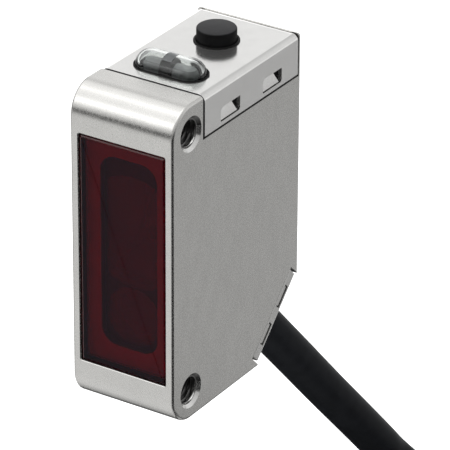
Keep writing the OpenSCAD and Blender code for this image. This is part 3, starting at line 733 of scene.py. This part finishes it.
def case_place(face):
    """Which part of the case a face belongs to, for painted shade or a painted highlight, or None."""
    centre = face.center / MM
    reach = math.hypot(centre.y, abs(centre.z) - HOLE_Z)
    mouth = MOUTH_R + abs(centre.x) - HALF_W
    height = abs(centre.z) - HOLE_Z if centre.z > 0 else HOLE_Z - abs(centre.z)
    in_window = (abs(centre.x) < window_high.x + 0.1 and abs(centre.z) < window_high.z + 0.1
                 and FRONT_Y + 0.11 < centre.y < LEDGE_BACK)
    on_mouth = abs(reach - mouth) < 0.05 and abs(centre.x) > HALF_W - 0.5
    on_ramp = (STEP_X + 0.06 < abs(centre.x) < HALF_W - 0.02 and 0.1 < face.normal.z < 0.9
               and LATCH_Z < centre.z < LATCH_Z + LATCH_H and centre.y > LID_FRONT)
    if in_window and face.normal.z > 0.5:
        return "pocket floor shade"
    if in_window and face.normal.x > 0.5:
        return "bore"
    if reach < THREAD_R + 0.3 and not on_mouth and abs(centre.x) < HALF_W - 0.24:
        return "bore"
    if on_mouth and centre.y > 0.3 and height > 0.15:
        return "bore"
    # mouth chamfers and latch ramps: smoother steel with a painted highlight in its lighter colour
    return "smooth" if on_mouth or on_ramp else None


# painted shade: dark steel in the bores, on the pocket walls and at the rear of the thread mouths
repaint(case, THREAD_PAINTED_SHADE, lambda face: case_place(face) == "bore")
# painted highlight: lighter, smoother steel on the mouth chamfers and latch ramps
repaint(case, LID_STEEL_AND_HIGHLIGHT, lambda face: case_place(face) == "smooth")
# painted shade: the steel floor of the window pocket made black
repaint(case, BLACK_PLASTIC_AND_SHADE, lambda face: case_place(face) == "pocket floor shade")

# ---- top cover ----
dome_low, dome_high = span("indicator_lens")
DOME_Y = (dome_low.y + dome_high.y) / 2
gasket_low, gasket_high = span("indicator_gasket")
DOME_C = (gasket_high.x - gasket_low.x - gasket_high.y + gasket_low.y) / 2
RIM_W, RIM_H = 0.16, 0.13
DOME_R = (gasket_high.y - gasket_low.y) / 2 - RIM_W
cap_low, cap_high = span("button_cap")
BUTTON_Y = (cap_low.y + cap_high.y) / 2
CAP_R = 1.83
CAP_GAP = 0.14
REAR_SLOPE_L = 0.35

flap_z = LID_SEAM + SEAM
lid_section = [(-HALF_W, flap_z, 0.06), (LID_T - HALF_W, flap_z, 0.06),
               (LID_T - HALF_W, LID_UNDER, FOLD_R - LID_T), (HALF_W - LID_T, LID_UNDER, FOLD_R - LID_T),
               (HALF_W - LID_T, flap_z, 0.06), (HALF_W, flap_z, 0.06), (HALF_W, TOP_Z, FOLD_R),
               (-HALF_W, TOP_Z, FOLD_R)]
lid = prism("top_cover_sheet", lid_section, LID_FRONT + SEAM_Y, LID_BACK + SLIT - 0.02, "y", 0.03)
cuts = [prism("cut", stadium(DOME_R + 0.02, DOME_C, DOME_Y), LID_UNDER - 1, TOP_Z + 1, "z", steps=16),
        prism("cut", stadium(CAP_R + CAP_GAP, 0.001, BUTTON_Y), LID_UNDER - 1, TOP_Z + 1, "z",
              steps=16),
        prism("cut", [(LID_BACK - REAR_SLOPE_L, TOP_Z, 0), (LID_BACK + 1, TOP_Z - 0.25, 0),
                      (LID_BACK + 1, TOP_Z + 1, 0), (LID_BACK - REAR_SLOPE_L, TOP_Z + 1, 0)],
              -HALF_W - 1, HALF_W + 1, "x")]
for y in LATCH_YS:
    cuts.append(prism("cut", [(y, LATCH_Z, 0.06), (y + LATCH_L, LATCH_Z, 0.3),
                              (y + LATCH_L, LATCH_Z + LATCH_H, 0.08), (y, LATCH_Z + LATCH_H, 0.45)],
                      -HALF_W - 1, HALF_W + 1, "x"))
for side in (-1, 1):                       # the flaps stop a little short of the rear wall
    short = [(side * (HALF_W + 1), 0, 0), (side * (HALF_W + 1), TOP_Z + 1, 0),
             (side * (HALF_W - FOLD_R), TOP_Z + 1, 0), (side * (HALF_W - FOLD_R), 0, 0)]
    cuts.append(prism("cut", short[::side], LID_BACK - 0.07, LID_BACK + 1, "y"))
combine(lid, cuts)
piece(lid, LID_STEEL_AND_HIGHLIGHT, ["top_cover"])

# ---- seal under the cover; the black lips it puts in each seam are painted shade, dark strips that stand in for the shade in the gaps ----
seal_low, seal_high = span("cover_gasket")
LIP, LIP_GAP = 0.03, 0.005
LEFT_LIP_DROP = 0.25               # the rear lip stands lower at its left end
SEAL_W = 0.55
seal_u = [(-HALF_W + LIP, step_z, 0), (-STEP_X, step_z, 0), (-STEP_X, LID_UNDER - INNER_FOLD, 0),
          (INNER_FOLD - STEP_X, LID_UNDER, 0), (STEP_X - INNER_FOLD, LID_UNDER, 0),
          (STEP_X, LID_UNDER - INNER_FOLD, 0), (STEP_X, step_z, 0), (HALF_W - LIP, step_z, 0)]
seal = prism("cover_seal", box_corners(seal_low.x, seal_low.y, seal_high.x, seal_high.y, 0.4),
             seal_low.z, seal_high.z, "z", 0.08)
combine(seal, [prism("cut", box_corners(seal_low.x + SEAL_W, seal_low.y + SEAL_W,
                                        seal_high.x - SEAL_W, seal_high.y - SEAL_W, 0.3),
                     seal_low.z - 1, seal_high.z + 1, "z")])
seal_j = seal_u[5:8] + [(HALF_W - LIP, TOP_Z - LIP, FOLD_R), (HALF_W - FOLD_R, TOP_Z - LIP, 0),
                        (HALF_W - FOLD_R, LID_UNDER, 0)]
seal_top = seal_u + [(HALF_W - LIP, TOP_Z - LIP_GAP, FOLD_R),
                     (-HALF_W + LIP, TOP_Z - LIP_GAP, FOLD_R)]
seam_shade_lips = [prism("lip", seal_top, LID_FRONT - SLIT - SEAM_Y + LIP_GAP, LID_FRONT + SEAM_Y - LIP_GAP,
              "y")]
for side in (-1, 1):
    corner = [(side * a, b - (LEFT_LIP_DROP if side < 0 else 0), radius) for a, b, radius in seal_j]
    seam_shade_lips.append(prism("lip", corner[::side], LID_BACK - 0.06, LID_BACK + SLIT - LIP_GAP, "y"))
    low_x, high_x = sorted((side * (STEP_X + LIP_GAP), side * (HALF_W - LIP)))
    seam_shade_lips.append(prism("lip", box_corners(low_x, step_z + LIP_GAP, high_x, flap_z - LIP_GAP),
                      LID_FRONT - SLIT, LID_BACK + SLIT, "y"))
    # black pads behind the latch windows: painted shade in the gaps round the ramps
    for y in LATCH_YS:
        low_x, high_x = sorted((side * (STEP_X + 0.002), side * (STEP_X + 0.06)))
        seam_shade_lips.append(prism("lip", box_corners(low_x, LATCH_Z - 0.1, high_x, LATCH_Z + LATCH_H + 0.1),
                          y - 0.1, y + LATCH_L + 0.2, "y"))
join(seal, seam_shade_lips)
piece(seal, RUBBER, ["cover_gasket"])

# ---- cable cover plate ----
EXIT_U = (EXIT.y - EXIT.z) / ROOT2
EXIT_S = (EXIT.y + EXIT.z) / ROOT2
BUSH_R = 2.3
PLATE_EASE, PLATE_FOLD = 0.05, 0.4
plate_section = [(-HALF_W, SKIRT_U, PLATE_EASE), (PLATE_T - HALF_W, SKIRT_U, PLATE_EASE),
                 (PLATE_T - HALF_W, plate_u - PLATE_T, PLATE_EASE),
                 (HALF_W - PLATE_T, plate_u - PLATE_T, PLATE_EASE),
                 (HALF_W - PLATE_T, SKIRT_U, PLATE_EASE), (HALF_W, SKIRT_U, PLATE_EASE),
                 (HALF_W, plate_u, PLATE_FOLD), (-HALF_W, plate_u, PLATE_FOLD)]
plate = prism("cable_cover_plate", plate_section, PLATE_S - PLATE_HALF, PLATE_S + PLATE_HALF, "slope",
              PLATE_EASE)
cuts = [prism("cut", stadium(BUSH_R + 0.03, 0.001, EXIT_S), CORNER_U - 3, CORNER_U + 2, "face",
              steps=12)]
cuts += [prism("cut", box_corners(s - CLIP_L / 2, CLIP_U, s + CLIP_L / 2, CLIP_U + CLIP_H, 0.08),
               -HALF_W - 1, HALF_W + 1, "side") for s in CLIP_S]
combine(plate, cuts)
piece(plate, PLATE_STEEL, ["cable_cover"])

# ---- front window ----
FILTER_TOP_GAP, FILTER_BEVEL = 0.1, 0.15
window = prism("filter_panel", box_corners(window_low.x + WINDOW_EASE, window_low.z + WINDOW_EASE,
                                           window_high.x - WINDOW_EASE,
                                           window_high.z - FILTER_TOP_GAP, 0.1),
               window_low.y, window_high.y, "y", FILTER_BEVEL)
piece(window, RED_FILTER, ["front_window"], sharp=5)
# painted highlight: only the top and left bevels, which face the light, get the milky copy
repaint(window, RED_BEVEL_PAINTED_LIGHT, lambda face: 0.1 < abs(face.normal.y) < 0.99
        and (face.normal.z > 0.1 or face.normal.x < -0.1))
seal_low, seal_high = span("window_seal")
SEAL_GROW = 0.12
SEAL_X, SEAL_Z, SEAL_R = 3.0, 9.35, 1.65      # its opening, a little larger than the case's
window_seal = prism("window_seal_ring", box_corners(seal_low.x - SEAL_GROW, seal_low.z - SEAL_GROW,
                                                    seal_high.x + SEAL_GROW,
                                                    seal_high.z + SEAL_GROW, 0.1),
                    seal_low.y, seal_high.y, "y")
combine(window_seal, [prism("cut", box_corners(-SEAL_X, -SEAL_Z, SEAL_X, SEAL_Z, SEAL_R),
                            seal_low.y - 1, seal_high.y + 1, "y", steps=12)])
piece(window_seal, SEAL, ["window_seal"])

# ---- indicator window ----
DOME_WALL = 0.4
CAPSULE_STEPS = 19


def capsule_top(name, radius, centre, base, rise=0.93):
    """Upper half of a slightly flattened capsule along X, on a straight skirt down to base."""
    rings = [[place("z", p.x, p.y, base) for p in outline(stadium(radius, centre, DOME_Y), 10)]]
    for k in range(CAPSULE_STEPS):
        angle = math.pi / 2 * k / (CAPSULE_STEPS - 0.5)
        rings.append([place("z", p.x, p.y, TOP_Z + rise * radius * math.sin(angle))
                      for p in outline(stadium(radius * math.cos(angle), centre, DOME_Y), 10)])
    return solid(name, rings)


dome = capsule_top("indicator_dome", DOME_R, DOME_C, dome_low.z)
combine(dome, [capsule_top("cut", DOME_R - DOME_WALL, DOME_C, dome_low.z - 1)])
piece(dome, DOME_CLEAR, ["indicator_lens"])

RIM_ENDS, RIM_SIDES = 0.7, 0.3             # the rim shows most at its two ends
REAR_GROW, REAR_RISE = 0.6, 1.6            # and at the rear
rim_rings = []
for grow, height in ((0.02, 0.0), (RIM_W, 0.0), (RIM_W, RIM_H - 0.04), (RIM_W - 0.04, RIM_H),
                     (0.06, RIM_H), (0.02, RIM_H - 0.04)):
    plan = outline(stadium(DOME_R + grow * RIM_SIDES, DOME_C + grow * RIM_ENDS, DOME_Y), 12)
    rim_rings.append([place("z", p.x, p.y + (grow * REAR_GROW if p.y > DOME_Y + 0.5 else 0),
                            TOP_Z + height * (REAR_RISE if p.y > DOME_Y + 0.5 else 1))
                      for p in plan])
rim = solid("indicator_rim", rim_rings, closed=True)
piece(rim, RUBBER, ["indicator_gasket"])

guide_low = span("light_guides")[0]
GUIDE_R, GUIDE_X = 0.78, 0.68
for side, hand in ((-1, "left"), (1, "right")):
    guide = capsule_top("light_guide_" + hand, GUIDE_R, DOME_C + 0.1, guide_low.z)
    low_x, high_x = sorted((side * GUIDE_X, side * 9))
    combine(guide, [prism("keep", box_corners(low_x, DOME_Y - 3, high_x, DOME_Y + 3), guide_low.z - 1,
                          TOP_Z + 3, "z")], "INTERSECT")
    ease_edges(guide, 0.06, 50)
    piece(guide, GUIDE_CLEAR, ["light_guides"])
    # painted highlight: the upward faces of the guide get the lighter copy
    repaint(guide, GUIDE_TOP_PAINTED_LIGHT, lambda face: face.normal.z > 0.7)
    # painted reflection: the inner end faces beside the divider get the white LED colour as bright
    # lines
    repaint(guide, LED_WHITE_AND_GLINT, lambda face: face.normal.x * side < -0.9)
divider_low, divider_high = span("light_divider")
DIVIDER_R = DOME_R - 0.45
DIVIDER_ROUND = DIVIDER_R - 0.001
divider_section = [(DOME_Y - DIVIDER_R, divider_low.z, 0), (DOME_Y + DIVIDER_R, divider_low.z, 0),
                   (DOME_Y + DIVIDER_R, divider_high.z, DIVIDER_ROUND),
                   (DOME_Y - DIVIDER_R, divider_high.z, DIVIDER_ROUND)]
divider = prism("indicator_divider", divider_section, divider_low.x, divider_high.x, "x", 0.12, 16)
piece(divider, DIVIDER, ["light_divider"])
# painted highlight: the divider's top faces get the grey copy
repaint(divider, DIVIDER_TOP_PAINTED_LIGHT, lambda face: face.normal.z > 0.82)

# ---- teach button ----
FLANGE_R, FLANGE_T = 2.3, 0.4
cap_profile = rounded_profile([
    (0, cap_low.z, 0), (FLANGE_R, cap_low.z, 0.05), (FLANGE_R, cap_low.z + FLANGE_T, 0.05),
    (CAP_R, cap_low.z + FLANGE_T, 0), (CAP_R, cap_high.z, 0.14), (0, cap_high.z, 0)])
cap = turned("teach_button", cap_profile, (0, BUTTON_Y), "z")
piece(cap, CAP_BLACK, ["button_cap"], BUTTON)
# painted shade: the cap's sides get the darker copy of its black
repaint(cap, CAP_SIDE_PAINTED_SHADE, lambda face: abs(face.normal.z) < 0.5)
collar_low, collar_high = span("button_collar")
bore_r, neck_r, ring_r, BOOT_R = CAP_R + 0.05, CAP_R + 0.12, CAP_R + 0.27, 2.7
ring_z = collar_high.z - 0.1
collar_profile = rounded_profile([
    (bore_r, collar_low.z, 0), (BOOT_R, collar_low.z, 0.1), (BOOT_R, LID_UNDER - 0.01, 0.05),
    (neck_r, LID_UNDER - 0.01, 0), (neck_r, TOP_Z + 0.01, 0), (ring_r, TOP_Z + 0.01, 0.03),
    (ring_r, ring_z, 0.07), (bore_r, ring_z, 0.04)])
collar = turned("button_boot", collar_profile, (0, BUTTON_Y), "z")
piece(collar, RUBBER, ["button_collar"])

# ---- snap dome of the switch: a thin domed shell under the button ----
snap_low, snap_high = span("snap_dome")
SNAP_R = (snap_high.x - snap_low.x) / 2
SNAP_T = 0.08
SNAP_STEPS = 10
snap_rise = snap_high.z - snap_low.z
snap_ball = (SNAP_R ** 2 + snap_rise ** 2) / (2 * snap_rise)
snap_centre = snap_high.z - snap_ball
snap_arcs = []
for ball in (snap_ball, snap_ball - SNAP_T):
    half = math.acos((snap_low.z - snap_centre) / ball)
    angles = [half * k / SNAP_STEPS for k in range(SNAP_STEPS + 1)]
    snap_arcs.append([(ball * math.sin(t), snap_centre + ball * math.cos(t)) for t in angles])
snap = turned("snap_disc", snap_arcs[0] + snap_arcs[1][::-1], (0, BUTTON_Y), "z")
piece(snap, TIN, ["snap_dome"])
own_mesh(snap)

# ---- cable bush ----
BUSH_FLANGE_R, BUSH_FLANGE_T = 3.4, 1.96
bush_base = plate_u - PLATE_T - 2.02
bush_shoulder = bush_base + BUSH_FLANGE_T
bush_profile = rounded_profile([
    (CABLE_R + 0.01, bush_base, 0), (BUSH_FLANGE_R, bush_base, 0.1),
    (BUSH_FLANGE_R, bush_shoulder, 0.1), (BUSH_R, bush_shoulder, 0.02),
    (BUSH_R, EXIT_U, 0.1), (CABLE_R + 0.01, EXIT_U, 0.05)])
bush = turned("cable_bush_moulding", bush_profile, (0, EXIT_S), "face")
piece(bush, RUBBER, ["cable_bush"])

# ---- floor, light and surroundings ----
FLOOR_HALF, FLOOR_T, FLOOR_GAP = 1500, 3.8, 0.2
floor_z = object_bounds()[0][2] / MM - FLOOR_GAP
floor = prism("floor", box_corners(-FLOOR_HALF, -FLOOR_HALF, FLOOR_HALF, FLOOR_HALF),
              floor_z - FLOOR_T, floor_z, "z")
paper = finish("studio_paper", (0.86, 0.86, 0.86), 0.9, 2.0, 0.02, contrast=0.005)
paper_shader = paper.node_tree.nodes["Principled BSDF"]
paper_shader.inputs["Emission Color"].default_value = (1, 1, 1, 1)
paper_shader.inputs["Emission Strength"].default_value = 0.75
floor.data.materials.append(paper)
floor.visible_glossy = False


def softbox(name, place_mm, aim_mm, size_mm, power):
    """Rectangular light that faces a point."""
    light = bpy.data.lights.new(name, "AREA")
    light.shape = "RECTANGLE"
    light.size, light.size_y = size_mm[0] * MM, size_mm[1] * MM
    light.energy = power
    obj = bpy.data.objects.new(name, light)
    obj.location = Vector(place_mm) * MM
    obj.rotation_euler = (Vector(place_mm) - Vector(aim_mm)).to_track_quat("Z", "Y").to_euler()
    bpy.context.scene.collection.objects.link(obj)
    return obj


softbox("overhead_softbox", (-60, -40, 420), (0, 5, 0), (300, 300), 0.2)
softbox("front_softbox", (-260, -300, 180), (0, 0, 0), (220, 260), 0.15)

WORLD_STRENGTH = 2
world = bpy.data.worlds.new("studio")
bpy.context.scene.world = world
world.use_nodes = True
nodes, links = world.node_tree.nodes, world.node_tree.links
background = nodes["Background"]
coords = nodes.new("ShaderNodeTexCoord")
parts = nodes.new("ShaderNodeSeparateXYZ")
links.new(coords.outputs["Generated"], parts.inputs["Vector"])


def world_base(stops):
    """Brightness by height: stops of (z from -1 to 1, brightness up to 2)."""
    height = nodes.new("ShaderNodeMapRange")
    height.inputs["From Min"].default_value = -1
    links.new(parts.outputs["Z"], height.inputs["Value"])
    ramp = nodes.new("ShaderNodeValToRGB")
    ramp.color_ramp.interpolation = "EASE"
    while len(ramp.color_ramp.elements) < len(stops):
        ramp.color_ramp.elements.new(0.5)
    for element, (at, level) in zip(ramp.color_ramp.elements, stops):
        element.position = (at + 1) / 2
        element.color = (*[level / WORLD_STRENGTH] * 3, 1)
    links.new(height.outputs["Result"], ramp.inputs["Fac"])
    return ramp.outputs["Color"]


def world_patch(below, direction, inner, outer, level):
    """Round panel of even brightness, fading from inner to outer degrees off its middle."""
    facing = nodes.new("ShaderNodeVectorMath")
    facing.operation = "DOT_PRODUCT"
    facing.inputs[1].default_value = Vector(direction).normalized()
    links.new(coords.outputs["Generated"], facing.inputs[0])
    fade = nodes.new("ShaderNodeMapRange")
    fade.interpolation_type = "SMOOTHSTEP"
    fade.inputs["From Min"].default_value = math.cos(math.radians(outer))
    fade.inputs["From Max"].default_value = math.cos(math.radians(inner))
    links.new(facing.outputs["Value"], fade.inputs["Value"])
    layer = nodes.new("ShaderNodeMix")
    layer.data_type = "RGBA"
    layer.inputs["B"].default_value = (*[level / WORLD_STRENGTH] * 3, 1)
    links.new(fade.outputs["Result"], layer.inputs["Factor"])
    links.new(below, layer.inputs["A"])
    return layer.outputs["Result"]


glow = world_base([(-1, 0.5), (-0.3, 0.42), (0.0, 0.25), (0.3, 0.45), (0.6, 0.6), (1, 0.8)])
for panel in [
        ((-0.48, -0.20, 0.85), 33, 46, 1.16),       # overhead light
        ((0.58, 0.74, 0.20), 12, 45, 0.74),         # seen in the cover's folds and the latch ramps
        ((0.66, 0.75, -0.09), 7, 15, 1.0),          # seen in the latch ramps
        ((-0.48, 0.75, 0.46), 8, 16, 0.87),         # seen in the cover
        ((-0.48, -0.75, -0.46), 14, 30, 0.74),      # seen in the front
        ((-0.48, -0.87, 0.10), 7, 20, 0.0),         # dark line under the rounded corner
        ((0.48, 0.75, -0.46), 16, 32, 0.40),        # seen in the side
        ((-0.48, -0.40, -0.78), 12, 24, 0.76),      # seen in the lower front
        ((-0.48, 0.46, -0.75), 8, 18, 0.03),        # dark line under the lower front
        ((-0.25, 0.83, -0.50), 9, 20, 1.1),         # bright lines along the rear edges
        ((-0.78, 0.46, -0.42), 10, 22, 1.1),        # bright line beside the window
        ((-0.48, 0.87, 0.05), 10, 20, 1.6),         # bright line along the rear top edge
        ((-0.48, 0.75, -0.46), 4, 9, 0.12),         # thin dark line round the outermost edges
        ((0.66, -0.58, -0.46), 32, 44, 0.0)]:       # dark line along the upright edge
    glow = world_patch(glow, *panel)
seen = nodes.new("ShaderNodeLightPath")
choice = nodes.new("ShaderNodeMix")
choice.data_type = "RGBA"
choice.inputs["B"].default_value = (0.5, 0.5, 0.5, 1)      # white behind the object
links.new(seen.outputs["Is Camera Ray"], choice.inputs["Factor"])
links.new(glow, choice.inputs["A"])
links.new(choice.outputs["Result"], background.inputs["Color"])
background.inputs["Strength"].default_value = WORLD_STRENGTH

bpy.context.scene.view_settings.view_transform = "Standard"
